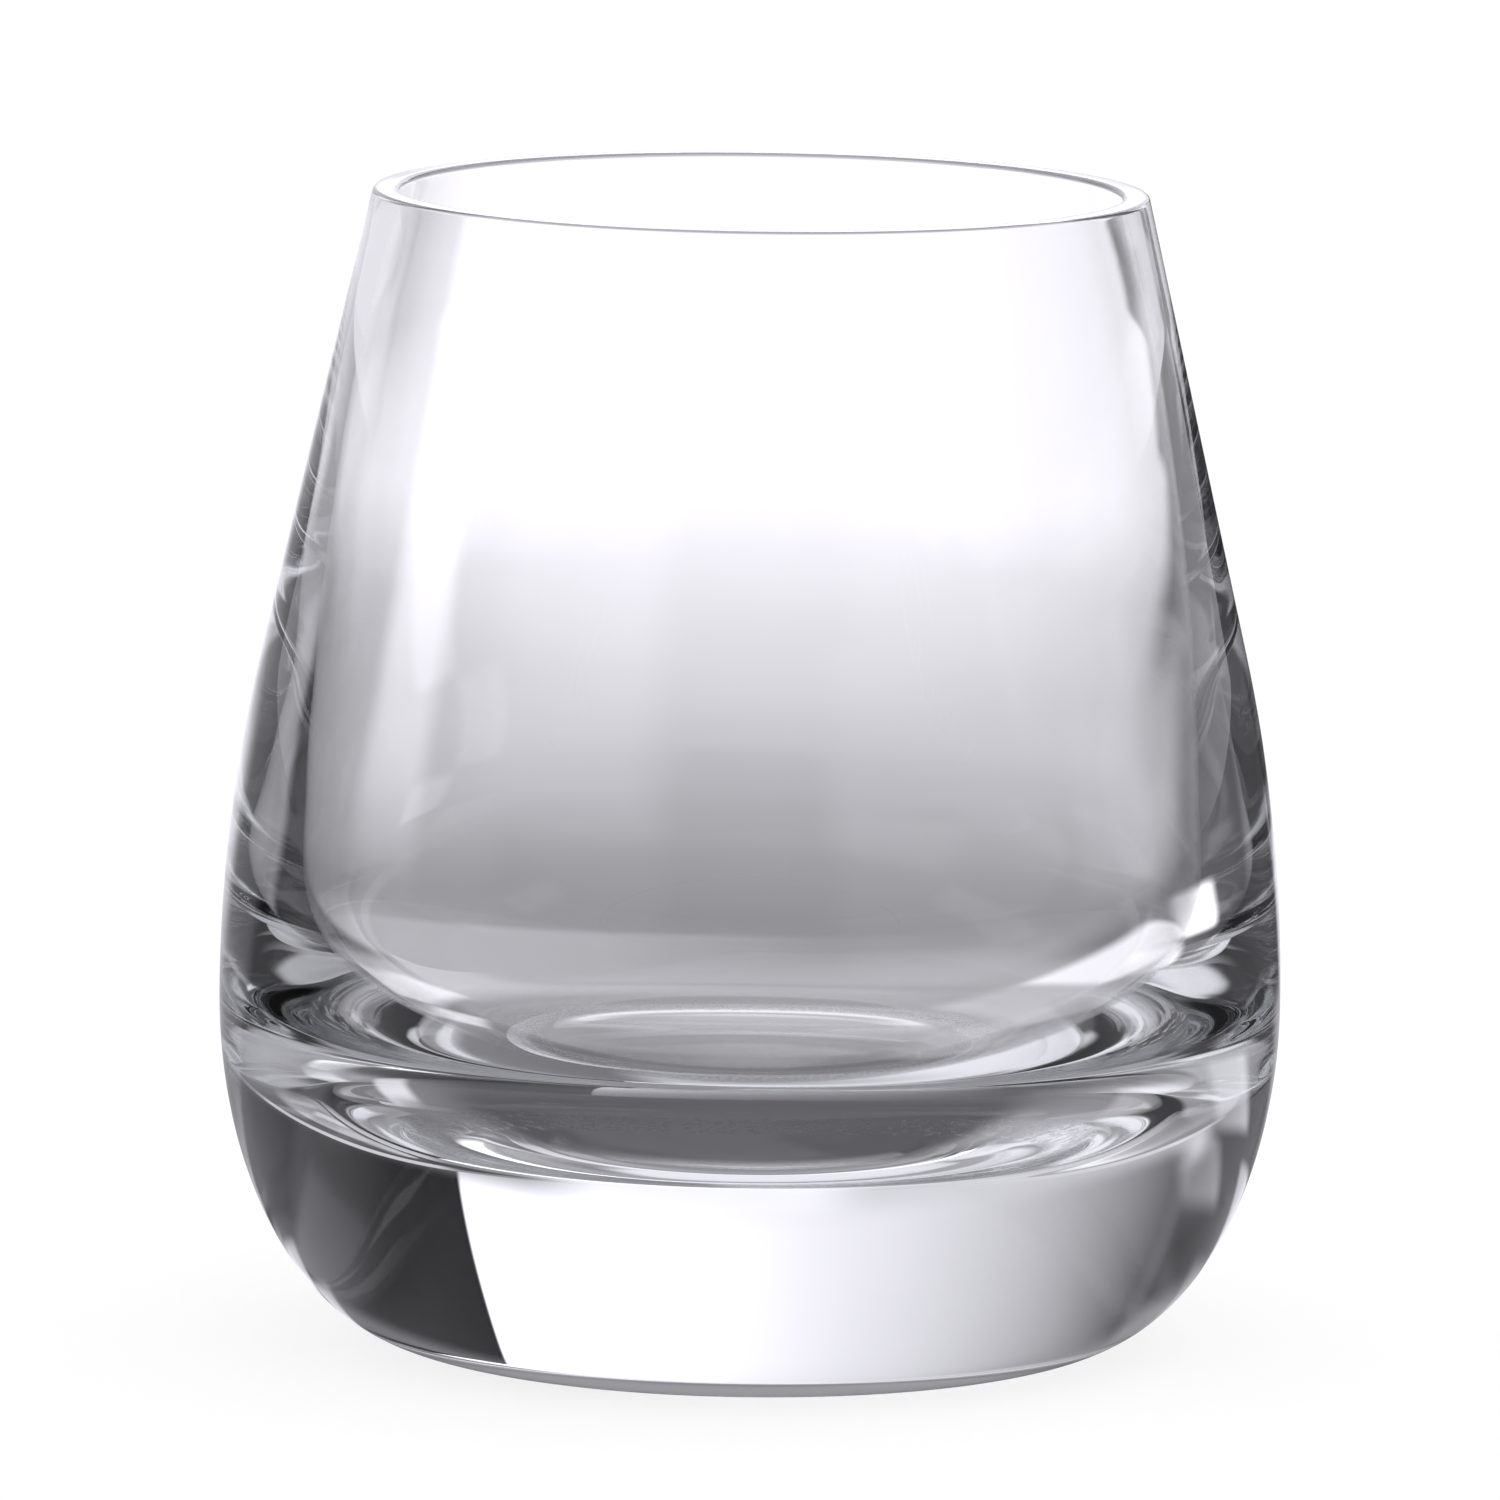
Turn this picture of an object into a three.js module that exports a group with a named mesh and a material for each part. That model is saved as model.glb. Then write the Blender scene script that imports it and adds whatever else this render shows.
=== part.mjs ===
// A heavy-based whisky tumbler: one piece of clear blown glass, round about the Z axis.
// Sizes are in millimetres, +Z is up, and the origin is the centre of the foot,
// on the surface that the glass stands on.

import * as THREE from 'three';

// Outside of the glass
const HEIGHT = 95.7; // from the table to the top of the lip
const MOUTH_DIAMETER = 64.1; // over the lip
const BELLY_DIAMETER = 88; // at the widest place
const BELLY_HEIGHT = 28.7; // of the widest place above the table
const STRAIGHT_FLANK = 39.1; // length of the plain cone below the lip
const FOOT_DIAMETER = 54.4; // where the belly meets the table
const FOOT_RING_WIDTH = 4.8; // of the flat ring that touches the table
const PUNT_DEPTH = 1.2; // rise of the hollow underside within that ring

// Inside of the glass
const LIP_THICKNESS = 2.3; // of the wall at the lip
const LIP_EDGE_RADIUS = 0.45; // of the fire-polished edges of the lip's flat top
const BASE_THICKNESS = 18.3; // from the table to the floor of the cup
const FLOOR_DIAMETER = 31; // of the flat floor of the cup
const BOWL_DEPTH = 20.2; // from the floor up to the widest place of the cup
const BOWL_INSET = 6.4; // widest radius outside less widest radius inside
const STRAIGHT_CUP = 6.7; // length of the plain cone of the cup below the lip

// Fineness of the facets
const TURN_SEGMENTS = 72; // around the axis
const PUNT_STEPS = 5;
const BELLY_STEPS = 14;
const FLANK_STEPS = 8;
const LIP_STEPS = 4; // on each edge of its top
const BOWL_STEPS = 14;

const QUARTER_TURN = Math.PI / 2;
const HALF_TURN = Math.PI;

const footRadius = FOOT_DIAMETER / 2;
const puntRadius = footRadius - FOOT_RING_WIDTH;
const bellyRadius = BELLY_DIAMETER / 2;
const bowlRadius = bellyRadius - BOWL_INSET;
const bowlHeight = BASE_THICKNESS + BOWL_DEPTH;
const floorRadius = FLOOR_DIAMETER / 2;
const mouthRadius = MOUTH_DIAMETER / 2;
const edgeHeight = HEIGHT - LIP_EDGE_RADIUS;
const outerEdge = new THREE.Vector2(mouthRadius - LIP_EDGE_RADIUS, edgeHeight);
const innerEdge = new THREE.Vector2(mouthRadius - LIP_THICKNESS + LIP_EDGE_RADIUS, edgeHeight);

// A flank leaves its widest place upright, leans in along an arc and runs straight to the centre of a lip edge.
// Each wall of the glass lies one edge radius from such a line, so it meets the rounded edge smoothly.
function flankLine(widestRadius, widestHeight, straightLength, edge) {
  const inward = widestRadius - edge.x;
  const rise = edge.y - widestHeight;
  const lean = 2 * Math.atan(inward / (rise + straightLength));
  const arcRadius = (rise - straightLength * Math.cos(lean)) / Math.sin(lean);
  return { lean, arcRadius, centre: new THREE.Vector2(widestRadius - arcRadius, widestHeight) };
}

const outerFlank = flankLine(bellyRadius - LIP_EDGE_RADIUS, BELLY_HEIGHT, STRAIGHT_FLANK, outerEdge);
const innerFlank = flankLine(bowlRadius + LIP_EDGE_RADIUS, bowlHeight, STRAIGHT_CUP, innerEdge);

// Points of an arc of an ellipse, in radius and height, from one angle to another.
function arc(centre, radiusAcross, radiusUp, from, to, steps) {
  const curve = new THREE.EllipseCurve(centre.x, centre.y, radiusAcross, radiusUp, from, to, to < from);
  return curve.getPoints(steps);
}

// The hollow underside is a shallow cap of a sphere, from the axis out to the foot ring.
function underside() {
  const sphereRadius = (puntRadius ** 2 + PUNT_DEPTH ** 2) / (2 * PUNT_DEPTH);
  const sphereCentre = new THREE.Vector2(0, PUNT_DEPTH - sphereRadius);
  const edgeAngle = QUARTER_TURN - Math.asin(puntRadius / sphereRadius);
  const cap = arc(sphereCentre, sphereRadius, sphereRadius, QUARTER_TURN, edgeAngle, PUNT_STEPS);
  cap[0].set(0, PUNT_DEPTH);
  cap[PUNT_STEPS].set(puntRadius, 0);
  return cap;
}

// The belly sweeps up from the foot ring to the widest place as a quarter of an ellipse.
function belly() {
  const centre = new THREE.Vector2(footRadius, BELLY_HEIGHT);
  return arc(centre, bellyRadius - footRadius, BELLY_HEIGHT, -QUARTER_TURN, 0, BELLY_STEPS);
}

// The outer wall leans in above the belly. Its straight cone runs from the last point here to the lip.
function outerWall() {
  const radius = outerFlank.arcRadius + LIP_EDGE_RADIUS;
  return arc(outerFlank.centre, radius, radius, 0, outerFlank.lean, FLANK_STEPS).slice(1);
}

// The lip is cut flat, and its two edges are rounded into the cones outside and inside.
function lip() {
  const radius = LIP_EDGE_RADIUS;
  const outside = arc(outerEdge, radius, radius, outerFlank.lean, QUARTER_TURN, LIP_STEPS);
  const inside = arc(innerEdge, radius, radius, QUARTER_TURN, HALF_TURN + innerFlank.lean, LIP_STEPS);
  return [...outside, ...inside];
}

// The inner wall leans out below the straight cone of the cup, down to the widest place of the bowl.
function innerWall() {
  const radius = innerFlank.arcRadius - LIP_EDGE_RADIUS;
  return arc(innerFlank.centre, radius, radius, innerFlank.lean, 0, FLANK_STEPS);
}

// The bowl rounds in to the flat floor as a quarter of an ellipse, and the floor runs to the axis.
function bowl() {
  const centre = new THREE.Vector2(floorRadius, bowlHeight);
  const wall = arc(centre, bowlRadius - floorRadius, BOWL_DEPTH, 0, -QUARTER_TURN, BOWL_STEPS).slice(1);
  return [...wall, new THREE.Vector2(0, BASE_THICKNESS)];
}

const glassMaterial = new THREE.MeshStandardMaterial({
  color: 0xf3f4f7,
  roughness: 0.03,
  metalness: 0,
  transparent: true,
  opacity: 0.35,
});

// The whole outline, from the axis under the foot, round the glass, to the axis on the floor of the cup.
function glassBody() {
  const outline = [...underside(), ...belly(), ...outerWall(), ...lip(), ...innerWall(), ...bowl()];
  const geometry = new THREE.LatheGeometry(outline, TURN_SEGMENTS);
  geometry.rotateX(QUARTER_TURN);
  const mesh = new THREE.Mesh(geometry, glassMaterial);
  mesh.name = 'glass_body';
  return mesh;
}

const tumbler = new THREE.Group();
tumbler.add(glassBody());

export default tumbler;
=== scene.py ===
import math
import bpy
from mathutils import Matrix, Vector


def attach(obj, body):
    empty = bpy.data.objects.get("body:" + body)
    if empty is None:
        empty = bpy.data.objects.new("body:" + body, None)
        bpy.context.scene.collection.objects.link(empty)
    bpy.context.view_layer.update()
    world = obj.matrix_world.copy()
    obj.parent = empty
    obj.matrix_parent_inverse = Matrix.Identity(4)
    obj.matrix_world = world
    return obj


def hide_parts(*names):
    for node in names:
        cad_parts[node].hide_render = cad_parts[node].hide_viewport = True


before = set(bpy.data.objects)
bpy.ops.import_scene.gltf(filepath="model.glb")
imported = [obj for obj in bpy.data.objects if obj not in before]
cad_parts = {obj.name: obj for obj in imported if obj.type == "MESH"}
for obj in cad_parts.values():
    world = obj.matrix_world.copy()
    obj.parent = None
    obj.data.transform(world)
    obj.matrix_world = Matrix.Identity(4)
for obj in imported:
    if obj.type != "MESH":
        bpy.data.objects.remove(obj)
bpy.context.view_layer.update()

scene = bpy.context.scene

# Driving sizes of the glass, in metres, as in the CAD source
HEIGHT = 0.0957
MOUTH_DIAMETER = 0.0641
BELLY_DIAMETER = 0.088
BELLY_HEIGHT = 0.0287
STRAIGHT_FLANK = 0.0391
FOOT_DIAMETER = 0.0544
FOOT_RING_WIDTH = 0.0048
PUNT_DEPTH = 0.0012
LIP_THICKNESS = 0.0023
LIP_EDGE_RADIUS = 0.00045
BASE_THICKNESS = 0.0183
FLOOR_DIAMETER = 0.031
BOWL_DEPTH = 0.0202
BOWL_INSET = 0.0064
STRAIGHT_CUP = 0.0067

# How finely the curves are cut
TURN_SEGMENTS = 224
PUNT_STEPS = 14
RING_STEPS = 3
BELLY_STEPS = 56
FLANK_STEPS = 40
STRAIGHT_STEPS = 12
LIP_STEPS = 12
LIP_TOP_STEPS = 4
BOWL_STEPS = 64
FLOOR_STEPS = 8

# The bowl runs into the wall over this much above and below its widest point
BLEND_REACH = 0.009
BLEND_STEPS = 40

QUARTER = math.pi / 2


def arc(centre, across, up, start, end, steps):
    """Points along part of an ellipse, start and end in radians."""
    points = []
    for i in range(steps + 1):
        angle = start + (end - start) * i / steps
        points.append((centre[0] + across * math.cos(angle), centre[1] + up * math.sin(angle)))
    return points


def line(start, end, steps):
    """Points along a straight line, without its first one."""
    across, up = end[0] - start[0], end[1] - start[1]
    return [(start[0] + across * i / steps, start[1] + up * i / steps) for i in range(1, steps + 1)]


def flank_line(widest_radius, widest_height, straight_length, edge):
    """Lean, radius and centre of the arc that leads from the widest point into the straight flank."""
    inward = widest_radius - edge[0]
    rise = edge[1] - widest_height
    lean = 2 * math.atan(inward / (rise + straight_length))
    radius = (rise - straight_length * math.cos(lean)) / math.sin(lean)
    return lean, radius, (widest_radius - radius, widest_height)


def bowl_blend(bowl, cup_floor, bowl_height, wall_radius):
    """Points down from the cup's wall into its bowl, on a fifth-degree curve that keeps slope and
    curvature at both ends. Bottom and top are each a radius, a slope and a curvature."""
    across = bowl - cup_floor
    low = -BLEND_REACH
    sink = low / BOWL_DEPTH
    root = math.sqrt(1 - sink ** 2)
    bottom = (cup_floor + across * root,
              -across * sink / (BOWL_DEPTH * root),
              -across / (BOWL_DEPTH ** 2 * root ** 3))
    drop = math.sqrt(wall_radius ** 2 - BLEND_REACH ** 2)
    top = (bowl - wall_radius + drop, -BLEND_REACH / drop, -wall_radius ** 2 / drop ** 3)
    span = 2 * BLEND_REACH
    points = []
    for i in range(BLEND_STEPS + 1):
        t = 1 - i / BLEND_STEPS
        radius = bottom[0] * (1 - 10 * t ** 3 + 15 * t ** 4 - 6 * t ** 5)
        radius += bottom[1] * span * (t - 6 * t ** 3 + 8 * t ** 4 - 3 * t ** 5)
        radius += bottom[2] * span ** 2 * (t ** 2 - 3 * t ** 3 + 3 * t ** 4 - t ** 5) / 2
        radius += top[0] * (10 * t ** 3 - 15 * t ** 4 + 6 * t ** 5)
        radius += top[1] * span * (-4 * t ** 3 + 7 * t ** 4 - 3 * t ** 5)
        radius += top[2] * span ** 2 * (t ** 3 - 2 * t ** 4 + t ** 5) / 2
        points.append((radius, bowl_height + low + span * t))
    return points


def tumbler_outline():
    """Half outline, from the middle of the underside round the outside and down into the cup."""
    foot = FOOT_DIAMETER / 2
    punt = foot - FOOT_RING_WIDTH
    belly = BELLY_DIAMETER / 2
    bowl = belly - BOWL_INSET
    bowl_height = BASE_THICKNESS + BOWL_DEPTH
    cup_floor = FLOOR_DIAMETER / 2
    edge = LIP_EDGE_RADIUS
    mouth = MOUTH_DIAMETER / 2
    out_edge = (mouth - edge, HEIGHT - edge)
    in_edge = (mouth - LIP_THICKNESS + edge, HEIGHT - edge)
    out_lean, out_radius, out_centre = flank_line(belly - edge, BELLY_HEIGHT, STRAIGHT_FLANK,
                                                  out_edge)
    in_lean, in_radius, in_centre = flank_line(bowl + edge, bowl_height, STRAIGHT_CUP, in_edge)
    dome = (punt ** 2 + PUNT_DEPTH ** 2) / (2 * PUNT_DEPTH)
    points = arc((0, PUNT_DEPTH - dome), dome, dome, QUARTER, QUARTER - math.asin(punt / dome),
                 PUNT_STEPS)
    points += line(points[-1], (foot, 0), RING_STEPS)[:-1]
    points += arc((foot, BELLY_HEIGHT), belly - foot, BELLY_HEIGHT, -QUARTER, 0, BELLY_STEPS)
    flank_radius = out_radius + edge
    points += arc(out_centre, flank_radius, flank_radius, 0, out_lean, FLANK_STEPS)[1:]
    lip_outside = arc(out_edge, edge, edge, out_lean, QUARTER, LIP_STEPS)
    lip_inside = arc(in_edge, edge, edge, QUARTER, 2 * QUARTER + in_lean, LIP_STEPS)
    points += line(points[-1], lip_outside[0], STRAIGHT_STEPS)[:-1] + lip_outside
    points += line(points[-1], lip_inside[0], LIP_TOP_STEPS)[:-1] + lip_inside
    wall_radius = in_radius - edge
    wall_end = math.asin(BLEND_REACH / wall_radius)
    wall = arc(in_centre, wall_radius, wall_radius, in_lean, wall_end, FLANK_STEPS)
    points += line(points[-1], wall[0], STRAIGHT_STEPS)[:-1] + wall
    points += bowl_blend(bowl, cup_floor, bowl_height, wall_radius)[1:]
    bowl_start = -math.asin(BLEND_REACH / BOWL_DEPTH)
    points += arc((cup_floor, bowl_height), bowl - cup_floor, BOWL_DEPTH, bowl_start, -QUARTER,
                  BOWL_STEPS)[1:]
    points += line(points[-1], (0, BASE_THICKNESS), FLOOR_STEPS)
    points[0] = (0.0, PUNT_DEPTH)
    return points


def lathe(name, outline, segments):
    """A closed round body from a half outline that starts and ends on the axis."""
    verts = [(0, 0, outline[0][1])]
    rings = outline[1:-1]
    for radius, height in rings:
        for i in range(segments):
            turn = 2 * math.pi * i / segments
            verts.append((radius * math.cos(turn), radius * math.sin(turn), height))
    last = len(verts)
    verts.append((0, 0, outline[-1][1]))
    faces = []
    for i in range(segments):
        after = (i + 1) % segments
        faces.append((0, 1 + after, 1 + i))
        top = 1 + (len(rings) - 1) * segments
        faces.append((last, top + i, top + after))
        for k in range(len(rings) - 1):
            low = 1 + k * segments
            high = low + segments
            faces.append((low + i, low + after, high + after, high + i))
    mesh = bpy.data.meshes.new(name)
    mesh.from_pydata(verts, [], faces)
    mesh.validate()
    mesh.update()
    mesh.polygons.foreach_set("use_smooth", [True] * len(mesh.polygons))
    obj = bpy.data.objects.new(name, mesh)
    scene.collection.objects.link(obj)
    return obj


# Node helpers
def wire(tree, socket, value):
    """Links a socket to an input, or writes a number on it."""
    if isinstance(value, bpy.types.NodeSocket):
        tree.links.new(value, socket)
    else:
        socket.default_value = value


def calc(tree, operation, *values):
    """One Math node."""
    node = tree.nodes.new("ShaderNodeMath")
    node.operation = operation
    for socket, value in zip(node.inputs, values):
        wire(tree, socket, value)
    return node.outputs[0]


def ramp(tree, value, start, end, low=0.0, high=1.0, kind="SMOOTHSTEP"):
    """Goes from low to high as value goes from start to end."""
    node = tree.nodes.new("ShaderNodeMapRange")
    node.interpolation_type = kind
    names = ("Value", "From Min", "From Max", "To Min", "To Max")
    for name, number in zip(names, (value, start, end, low, high)):
        wire(tree, node.inputs[name], number)
    return node.outputs[0]


def window(tree, value, low, high, soft_low, soft_high):
    """1 between low and high, falling to 0 outside over the given softness."""
    rise = ramp(tree, value, low - soft_low / 2, low + soft_low / 2)
    fall = ramp(tree, value, high - soft_high / 2, high + soft_high / 2, 1.0, 0.0)
    return calc(tree, "MULTIPLY", rise, fall)


def bearing(tree, x, y):
    """Degrees from straight behind the glass, to the right."""
    return calc(tree, "DEGREES", calc(tree, "ARCTAN2", x, y))


def length(tree, x, y):
    """Length of a flat vector."""
    squares = calc(tree, "ADD", calc(tree, "MULTIPLY", x, x), calc(tree, "MULTIPLY", y, y))
    return calc(tree, "SQRT", squares)


def smooth_curve(tree, value, points):
    """A smooth curve through (value, level) points, level at both ends."""
    reach = points[-1][0]
    top = max(level for _, level in points)
    node = tree.nodes.new("ShaderNodeValToRGB")
    node.color_ramp.interpolation = "CARDINAL"
    stops = node.color_ramp.elements
    while len(stops) < len(points):
        stops.new(1.0)
    for stop, (at, level) in zip(stops, points):
        stop.position = at / reach
        grey = level / top
        stop.color = (grey, grey, grey, 1)
    tree.links.new(calc(tree, "DIVIDE", value, reach), node.inputs["Fac"])
    return calc(tree, "MULTIPLY", node.outputs["Color"], top)


def lay_cards(tree, level, turn, across, cards, cover=1.0):
    """Lays each card over what is there, as far as it covers. A card is: middle and half width by
    bearing, softness of its left and right edge, reach across (low, high) and softness of both, and
    level at its left and right."""
    for middle, half, soft_l, soft_r, low, high, soft_lo, soft_hi, left, right in cards:
        off = calc(tree, "WRAP", calc(tree, "SUBTRACT", turn, middle), 180.0, -180.0)
        mask = calc(tree, "MULTIPLY", window(tree, off, -half, half, soft_l, soft_r),
                    window(tree, across, low, high, soft_lo, soft_hi))
        own = ramp(tree, off, -half, half, left, right, "LINEAR")
        share = calc(tree, "MULTIPLY", mask, cover)
        change = calc(tree, "MULTIPLY", calc(tree, "SUBTRACT", own, level), share)
        level = calc(tree, "ADD", level, change)
    return level


def seen_in_glass(tree):
    """1 for rays that the glass bends or mirrors, and the node that tells rays apart."""
    path = tree.nodes.new("ShaderNodeLightPath")
    bent, shiny = path.outputs["Is Transmission Ray"], path.outputs["Is Glossy Ray"]
    return calc(tree, "MAXIMUM", bent, shiny), path


def tinted(tree, level):
    """A grey level with the photograph's faint violet."""
    node = tree.nodes.new("ShaderNodeCombineColor")
    for name, share in zip(("Red", "Green", "Blue"), STUDIO_TINT):
        wire(tree, node.inputs[name], calc(tree, "MULTIPLY", level, share))
    return node.outputs[0]


STUDIO_TINT = (0.99, 0.975, 1.045)

# Levels of the world, which runs from the horizon up to the ceiling's edge, in degrees
CEILING_EDGE = 45.0
CEILING_LEVEL = 0.45
HORIZON_LEVEL = 0.35

# Cards round the glass, by bearing and elevation in degrees; bearing 0 is straight behind the glass
WALL_CARDS = [
    # ceiling light at the back
    (-22.0, 40.0, 24.0, 16.0, 40.0, 100.0, 10.0, 1.0, 1.1, 1.1),
    # high on the right
    (40.0, 24.0, 10.0, 14.0, 28.0, 64.0, 4.0, 10.0, 0.22, 0.26),
    # right flag
    (54.0, 30.5, 0.6, 16.0, 5.0, 30.0, 3.0, 5.0, 0.006, 0.05),
    # grey wall on the right
    (92.0, 22.0, 16.0, 16.0, 4.0, 27.0, 4.0, 6.0, 0.12, 0.12),
    # white horizon at the back
    (-6.0, 20.0, 10.0, 8.0, -20.0, 8.0, 4.0, 4.0, 1.2, 1.2),
    # pale horizon on the left
    (-98.0, 26.0, 12.0, 12.0, -20.0, 7.0, 4.0, 6.0, 0.75, 0.75),
    # left flag
    (-64.0, 18.0, 10.0, 8.0, -20.0, 28.0, 3.0, 8.0, 0.02, 0.03),
    # pale horizon at the back left
    (-29.0, 22.0, 8.0, 6.0, -20.0, 8.0, 4.0, 4.0, 0.8, 0.8),
    # pale horizon at the back right
    (40.0, 16.0, 3.0, 8.0, -20.0, 4.5, 4.0, 3.0, 0.75, 0.75),
    # dark gap between them
    (18.5, 4.5, 3.0, 3.0, -20.0, 0.5, 4.0, 1.0, 0.06, 0.06),
    # panel at the back, bright at its right end
    (-11.5, 35.0, 6.0, 0.5, 6.0, 32.0, 4.0, 10.0, 0.05, 1.9),
    # pale wall beyond the camera
    (175.0, 62.0, 30.0, 20.0, -20.0, 26.0, 4.0, 14.0, 0.6, 0.6),
    # dark strip in it
    (178.0, 22.0, 12.0, 12.0, -20.0, 23.0, 4.0, 8.0, 0.06, 0.06),
    # fill light beyond the camera
    (-137.0, 19.0, 14.0, 16.0, 9.0, 30.0, 6.0, 10.0, 1.1, 1.1),
    # high light on the left
    (-88.0, 26.0, 8.0, 8.0, 32.0, 44.0, 5.0, 6.0, 1.2, 1.2),
    # high light on the right
    (102.0, 11.0, 8.0, 8.0, 32.0, 42.0, 5.0, 5.0, 1.1, 1.1),
]

# Painted light and shade of the floor's glow, which only the glass sees: levels by distance before
# or behind the glass, in metres, grey near the glass and growing white away from it. A distance to
# the side counts for less, and the tilt makes the right side paler than the left
FLOOR_SIDE_SHARE = 0.3
FLOOR_TILT = 0.12
FLOOR_RINGS = [(0.0, 0.24), (0.02, 0.28), (0.032, 0.34), (0.042, 0.44), (0.054, 0.46), (0.07, 0.35),
               (0.088, 0.325), (0.115, 0.43), (0.145, 0.52), (0.18, 0.62), (0.22, 0.8), (0.26, 0.98),
               (0.3, 1.12), (0.345, 1.2)]

# Cards of painted light and shade on the floor's glow, by bearing in degrees and distance from the axis
# in metres
FLOOR_CARDS = [
    # near left
    (-30.0, 34.0, 12.0, 30.0, 0.038, 0.0765, 0.01, 0.005, 0.6, 0.44),
    # far sides
    (180.0, 110.0, 20.0, 20.0, 0.5, 9.0, 0.5, 0.1, 0.75, 0.75),
    # far left
    (-34.0, 22.0, 14.0, 20.0, 0.7, 9.0, 0.8, 0.1, 0.35, 0.55),
    # left mid
    (-44.0, 15.0, 8.0, 10.0, 0.2, 9.0, 0.2, 0.1, 0.3, 0.35),
    # far right
    (18.75, 4.75, 2.5, 3.0, 1.6, 9.0, 0.4, 0.1, 0.06, 0.06),
    # right far
    (24.5, 5.5, 4.0, 4.0, 0.45, 9.0, 0.1, 0.1, 0.08, 0.08),
    # right sector
    (34.0, 11.0, 6.0, 8.0, 0.2, 9.0, 0.05, 0.1, 0.1, 0.1),
    # right side
    (55.0, 22.0, 10.0, 20.0, 0.062, 9.0, 0.02, 0.05, 0.13, 0.13),
    # left side
    (-67.0, 17.0, 8.0, 6.0, 0.054, 9.0, 0.008, 0.05, 0.05, 0.06),
    # pale floor in front
    (180.0, 75.0, 40.0, 30.0, 0.04, 9.0, 0.03, 0.1, 0.62, 0.62),
    # dark strip in it, which the side walls show
    (180.0, 20.0, 12.0, 12.0, 0.11, 9.0, 0.03, 0.1, 0.09, 0.09),
    # painted shadow in a ring under the front of the base
    (180.0, 75.0, 40.0, 30.0, 0.008, 0.036, 0.012, 0.008, 0.11, 0.11),
    # painted glow on the right
    (90.0, 11.0, 8.0, 8.0, 0.2, 0.6, 0.05, 0.1, 1.0, 1.0),
    # painted pool of light on the right
    (66.0, 9.0, 6.0, 6.0, 0.095, 0.165, 0.012, 0.02, 2.0, 2.0),
    # painted pool of light nearer to the glass
    (49.0, 10.0, 5.0, 5.0, 0.047, 0.079, 0.006, 0.007, 1.15, 1.15),
    # painted pool of light to the side
    (84.0, 9.0, 6.0, 6.0, 0.062, 0.09, 0.01, 0.01, 1.6, 1.6),
    # right near
    (60.0, 22.0, 8.0, 8.0, 0.03, 0.047, 0.008, 0.006, 0.55, 0.55),
    # painted light near the glass on the left
    (-69.0, 11.0, 5.0, 5.0, 0.0385, 0.0485, 0.004, 0.004, 1.15, 1.15),
    # painted light under the glass on the left
    (-88.0, 7.0, 5.0, 5.0, 0.031, 0.0395, 0.004, 0.004, 1.0, 1.0),
    # left front
    (-110.0, 14.0, 8.0, 8.0, 0.08, 0.115, 0.01, 0.02, 0.6, 0.6),
    # under right
    (93.0, 24.0, 15.0, 15.0, 0.018, 0.03, 0.01, 0.01, 0.45, 0.45),
]

# Cards that only mirrored rays show
MIRRORED_WALL = [
    # dark wall in front
    (175.0, 62.0, 30.0, 20.0, -20.0, 26.0, 4.0, 14.0, 0.05, 0.08),
    # fill light over it
    (-137.0, 19.0, 14.0, 16.0, 9.0, 30.0, 6.0, 10.0, 1.1, 1.1),
    # tall strip light on the left
    (-91.0, 9.0, 8.0, 8.0, 4.0, 16.0, 12.0, 6.0, 5.0, 5.0),
    # light straight behind, which the flat lip mirrors
    (0.0, 4.0, 2.0, 2.0, 6.0, 11.0, 1.5, 1.5, 2.1, 2.1),
    # dark flag behind the right outline
    (12.0, 11.0, 4.0, 3.0, -30.0, 0.5, 4.0, 1.0, 0.04, 0.04),
]
MIRRORED_FLOOR = [
    # painted shade on the floor in front
    (180.0, 75.0, 40.0, 30.0, 0.008, 9.0, 0.012, 0.1, 0.11, 0.11),
    # painted shade at the foot of the dark flag
    (12.0, 11.0, 4.0, 3.0, 0.35, 9.0, 0.1, 0.1, 0.04, 0.04),
]

# The floor itself, in metres, and its own colour and glow for the camera
FLOOR_REACH = 4.0
FLOOR_GAP = 0.00005
PAPER_GREY = 0.32
PAPER_GLOW = 0.72


def studio_world():
    """White for the camera and the floor, and cards for what the glass bends and mirrors."""
    world = bpy.data.worlds.new("studio")
    scene.world = world
    world.use_nodes = True
    tree = world.node_tree
    tree.nodes.clear()
    where = tree.nodes.new("ShaderNodeTexCoord")
    split = tree.nodes.new("ShaderNodeSeparateXYZ")
    tree.links.new(where.outputs["Generated"], split.inputs[0])
    turn = bearing(tree, split.outputs["X"], split.outputs["Y"])
    height = calc(tree, "DEGREES", calc(tree, "ARCSINE", split.outputs["Z"]))
    level = ramp(tree, height, 0.0, CEILING_EDGE, HORIZON_LEVEL, CEILING_LEVEL)
    level = lay_cards(tree, level, turn, height, WALL_CARDS)
    in_glass, path = seen_in_glass(tree)
    level = lay_cards(tree, level, turn, height, MIRRORED_WALL, path.outputs["Is Reflection Ray"])
    cards = tree.nodes.new("ShaderNodeBackground")
    tree.links.new(tinted(tree, level), cards.inputs["Color"])
    plain = tree.nodes.new("ShaderNodeBackground")
    plain.inputs["Color"].default_value = (1, 1, 1, 1)
    plain.inputs["Strength"].default_value = 1.0
    mix = tree.nodes.new("ShaderNodeMixShader")
    tree.links.new(in_glass, mix.inputs[0])
    tree.links.new(plain.outputs[0], mix.inputs[1])
    tree.links.new(cards.outputs[0], mix.inputs[2])
    out = tree.nodes.new("ShaderNodeOutputWorld")
    tree.links.new(mix.outputs[0], out.inputs["Surface"])


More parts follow.
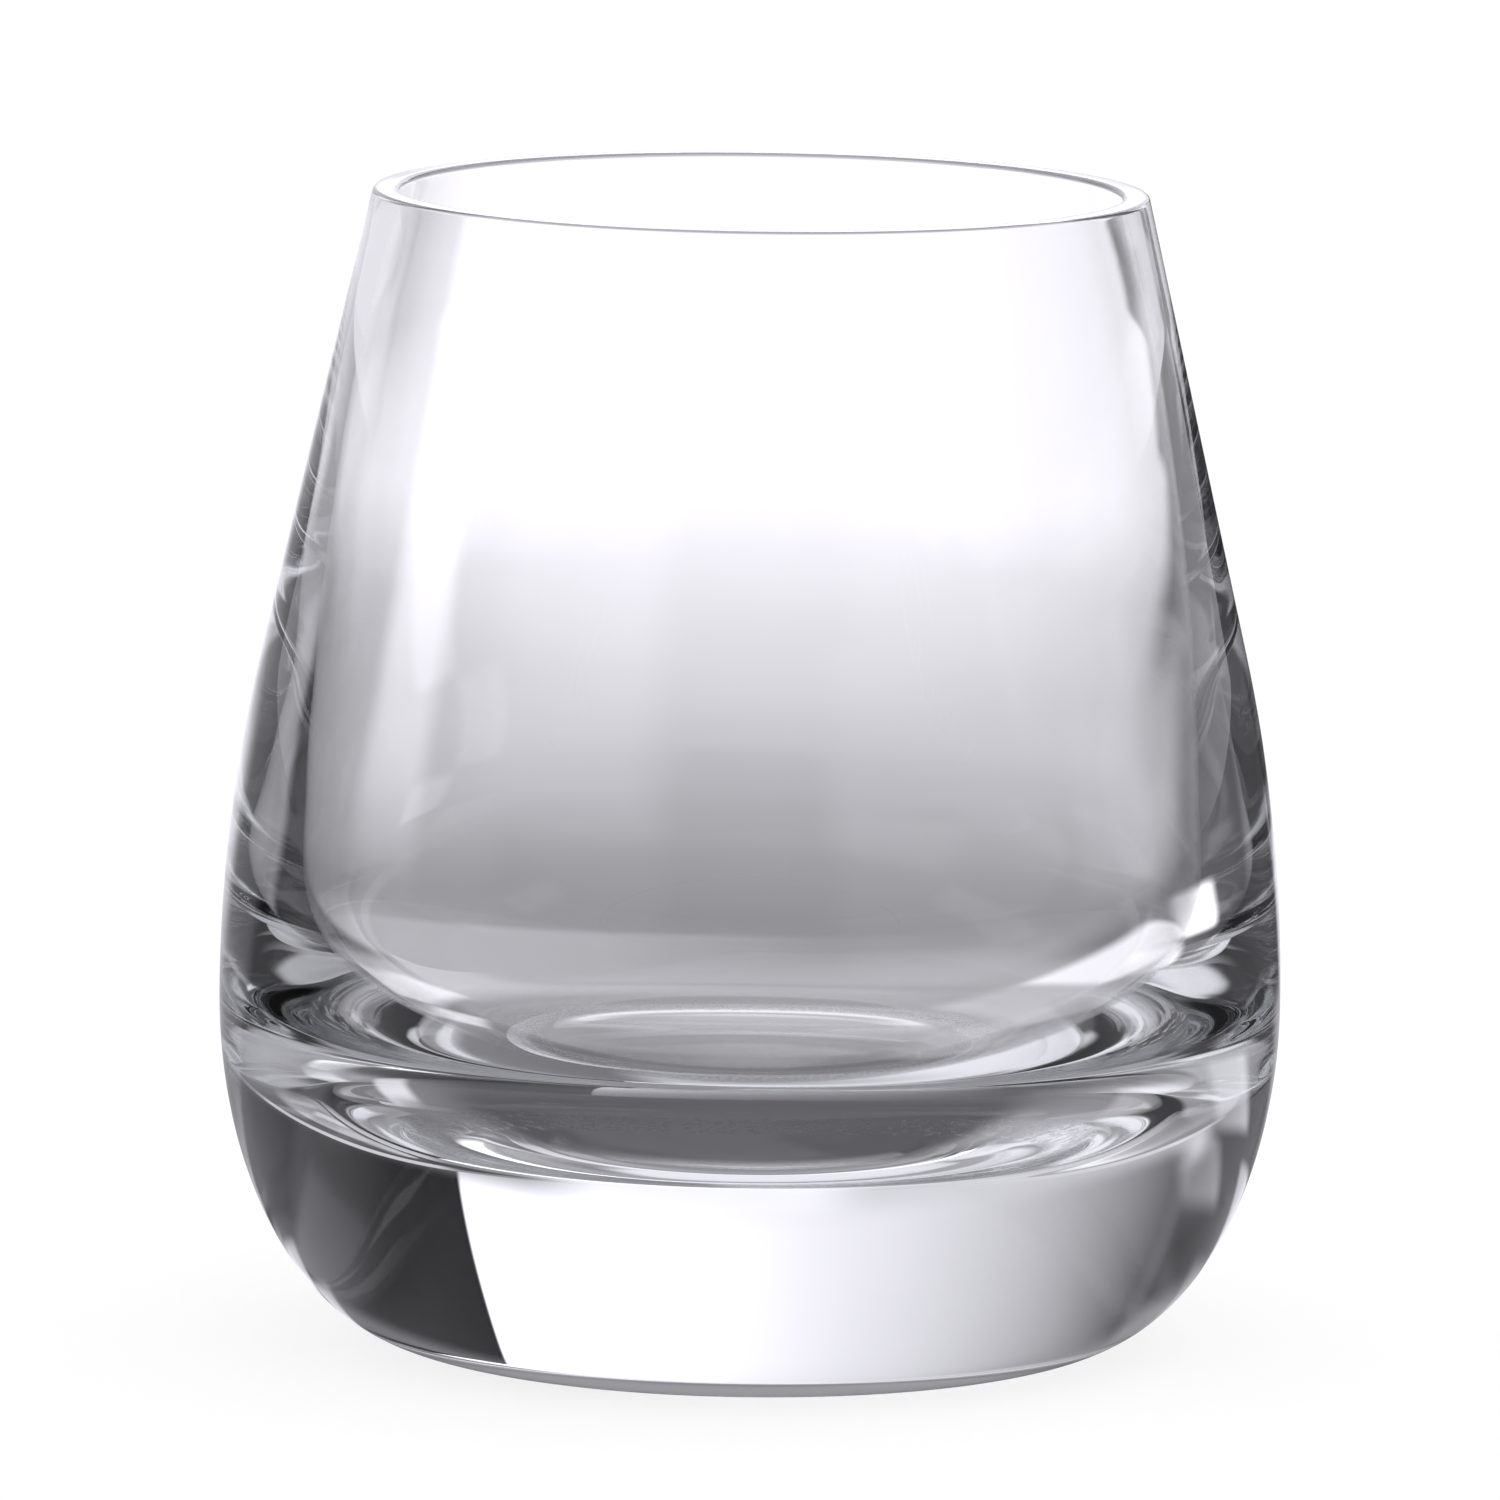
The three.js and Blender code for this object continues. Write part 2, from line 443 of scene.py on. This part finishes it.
def studio_floor():
    """A wide pale floor. The glass sees it glow with painted light and shade, white away from the
    glass.
    """
    far = FLOOR_REACH
    corners = [(-far, -far, 0), (far, -far, 0), (far, far, 0), (-far, far, 0)]
    mesh = bpy.data.meshes.new("floor")
    mesh.from_pydata(corners, [], [(0, 1, 2, 3)])
    obj = bpy.data.objects.new("floor", mesh)
    scene.collection.objects.link(obj)
    obj.location.z = -FLOOR_GAP
    mat = bpy.data.materials.new("floor_painted_glow")
    mat.use_nodes = True
    tree = mat.node_tree
    tree.nodes.clear()
    where = tree.nodes.new("ShaderNodeNewGeometry")
    split = tree.nodes.new("ShaderNodeSeparateXYZ")
    tree.links.new(where.outputs["Position"], split.inputs[0])
    x, y = split.outputs["X"], split.outputs["Y"]
    distance = length(tree, x, y)
    depth = length(tree, calc(tree, "MULTIPLY", x, FLOOR_SIDE_SHARE), y)
    depth = calc(tree, "ADD", depth, calc(tree, "MULTIPLY", x, FLOOR_TILT))
    level = smooth_curve(tree, depth, FLOOR_RINGS)
    turn = bearing(tree, x, y)
    level = lay_cards(tree, level, turn, distance, FLOOR_CARDS)
    in_glass, path = seen_in_glass(tree)
    level = lay_cards(tree, level, turn, distance, MIRRORED_FLOOR, path.outputs["Is Reflection Ray"])
    # Painted light and shade: the floor glows for the glass, and no lamp lights it
    painted_glow = tree.nodes.new("ShaderNodeEmission")
    tree.links.new(tinted(tree, level), painted_glow.inputs["Color"])
    paper = tree.nodes.new("ShaderNodeBsdfDiffuse")
    paper.inputs["Color"].default_value = (PAPER_GREY, PAPER_GREY, PAPER_GREY, 1)
    white = tree.nodes.new("ShaderNodeEmission")
    glow = calc(tree, "MULTIPLY", path.outputs["Is Camera Ray"], PAPER_GLOW)
    tree.links.new(glow, white.inputs["Strength"])
    both = tree.nodes.new("ShaderNodeAddShader")
    tree.links.new(paper.outputs[0], both.inputs[0])
    tree.links.new(white.outputs[0], both.inputs[1])
    mix = tree.nodes.new("ShaderNodeMixShader")
    tree.links.new(in_glass, mix.inputs[0])
    tree.links.new(both.outputs[0], mix.inputs[1])
    tree.links.new(painted_glow.outputs[0], mix.inputs[2])
    out = tree.nodes.new("ShaderNodeOutputMaterial")
    tree.links.new(mix.outputs[0], out.inputs["Surface"])
    obj.data.materials.append(mat)


# The glass itself
GLASS_IOR = 1.5
TINT_COLOUR = (0.80, 0.81, 0.82, 1)
TINT_DENSITY = 9.0

# Marks of making and use on the glass, in metres
RING_INNER = FOOT_DIAMETER / 2 - FOOT_RING_WIDTH
RING_OUTER = FOOT_DIAMETER / 2 + 0.0008
RING_SOFT = 0.0006
RING_HEIGHT = 0.0003
SCRATCH_SCALE = 900.0
SCRATCH_DETAIL = 3.0
SCRATCH_NOISE = (0.4, 0.7)
SCRATCH_ROUGHNESS = (0.1, 0.4)
BOWL_SOFT = 0.001
BOWL_EDGE = BELLY_DIAMETER / 2 - BOWL_INSET + BOWL_SOFT
WAVE_SCALE = 45.0
WAVE_DETAIL = 1.0
WAVE_DEPTH = 0.0001
WAVE_OUTSIDE = 0.25
WAVE_BOWL = 1.0


def noise(tree, place, scale, detail):
    """A soft random height between 0 and 1."""
    node = tree.nodes.new("ShaderNodeTexNoise")
    tree.links.new(place, node.inputs["Vector"])
    node.inputs["Scale"].default_value = scale
    node.inputs["Detail"].default_value = detail
    return node.outputs[0]


def glass_material():
    """Clear blown glass: faintly wavy, more so in the bowl, with a scuffed foot ring and a trace of
    grey."""
    mat = bpy.data.materials.new("clear_glass")
    mat.use_nodes = True
    tree = mat.node_tree
    tree.nodes.clear()
    place = tree.nodes.new("ShaderNodeTexCoord").outputs["Object"]
    split = tree.nodes.new("ShaderNodeSeparateXYZ")
    tree.links.new(place, split.inputs[0])
    radius = length(tree, split.outputs["X"], split.outputs["Y"])
    height = split.outputs["Z"]
    shader = tree.nodes.new("ShaderNodeBsdfPrincipled")
    shader.inputs["Base Color"].default_value = (1, 1, 1, 1)
    shader.inputs["IOR"].default_value = GLASS_IOR
    shader.inputs["Transmission Weight"].default_value = 1.0

    # Small scratches on the ring that the glass stands on
    ring = calc(tree, "MULTIPLY", window(tree, radius, RING_INNER, RING_OUTER, RING_SOFT, RING_SOFT),
                ramp(tree, height, 0.0, RING_HEIGHT, 1.0, 0.0))
    scratches = ramp(tree, noise(tree, place, SCRATCH_SCALE, SCRATCH_DETAIL),
                     *SCRATCH_NOISE, *SCRATCH_ROUGHNESS)
    tree.links.new(calc(tree, "MULTIPLY", ring, scratches), shader.inputs["Roughness"])

    # The blown cup is less even than the moulded outside
    bowl = calc(tree, "MULTIPLY", ramp(tree, radius, BOWL_EDGE, BOWL_EDGE + BOWL_SOFT, 1.0, 0.0),
                ramp(tree, height, BASE_THICKNESS - 2 * BOWL_SOFT, BASE_THICKNESS - BOWL_SOFT))
    depth = ramp(tree, bowl, 0.0, 1.0, WAVE_OUTSIDE, WAVE_BOWL, "LINEAR")
    bump = tree.nodes.new("ShaderNodeBump")
    bump.inputs["Strength"].default_value = 1.0
    bump.inputs["Distance"].default_value = WAVE_DEPTH
    wave = calc(tree, "SUBTRACT", noise(tree, place, WAVE_SCALE, WAVE_DETAIL), 0.5)
    tree.links.new(calc(tree, "MULTIPLY", wave, depth), bump.inputs["Height"])
    tree.links.new(bump.outputs[0], shader.inputs["Normal"])

    tint = tree.nodes.new("ShaderNodeVolumeAbsorption")
    tint.inputs["Color"].default_value = TINT_COLOUR
    tint.inputs["Density"].default_value = TINT_DENSITY
    out = tree.nodes.new("ShaderNodeOutputMaterial")
    tree.links.new(shader.outputs[0], out.inputs["Surface"])
    tree.links.new(tint.outputs[0], out.inputs["Volume"])
    return mat


# The photograph's camera: distances in metres, angles in degrees, the rest in its pixels
PHOTO_SIZE = 1500
FOCAL_PIXELS = 14330.0
SENSOR_WIDTH = 36.0
CAMERA_DISTANCE = 1.1866
CAMERA_LOOK_DOWN = 8.303
CAMERA_ROLL = 0.81
AIM_HEIGHT = 0.048
AIM_RIGHT = 3.1
AIM_BELOW = 13.4


def photo_camera():
    """The camera of the photograph: low, far away and rolled a little."""
    look_down = math.radians(CAMERA_LOOK_DOWN)
    roll = math.radians(CAMERA_ROLL)
    aim = Vector((0, 0, AIM_HEIGHT))
    forward = Vector((0, math.cos(look_down), -math.sin(look_down)))
    side = Vector((1, 0, 0))
    up = Vector((0, math.sin(look_down), math.cos(look_down)))
    right = math.cos(roll) * side + math.sin(roll) * up
    above = -math.sin(roll) * side + math.cos(roll) * up
    ahead = (forward - AIM_RIGHT / FOCAL_PIXELS * right + AIM_BELOW / FOCAL_PIXELS * above).normalized()
    right = ahead.cross(above).normalized()
    above = right.cross(ahead)
    cam = bpy.data.cameras.new("photo_camera")
    cam.sensor_width = SENSOR_WIDTH
    cam.lens = SENSOR_WIDTH * FOCAL_PIXELS / PHOTO_SIZE
    obj = bpy.data.objects.new("photo_camera", cam)
    scene.collection.objects.link(obj)
    turn = Matrix((right, above, -ahead)).transposed().to_4x4()
    obj.matrix_world = Matrix.Translation(aim - forward * CAMERA_DISTANCE) @ turn
    scene.camera = obj


# Light passes many surfaces inside the thick base
BOUNCES = 40

studio_world()
studio_floor()
photo_camera()

tumbler = lathe("tumbler", tumbler_outline(), TURN_SEGMENTS)
tumbler.data.materials.append(glass_material())
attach(tumbler, "root")
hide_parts("glass_body")

scene.view_settings.view_transform = "Standard"
scene.cycles.max_bounces = BOUNCES
scene.cycles.transmission_bounces = BOUNCES
scene.cycles.glossy_bounces = BOUNCES
scene.cycles.blur_glossy = 0.0
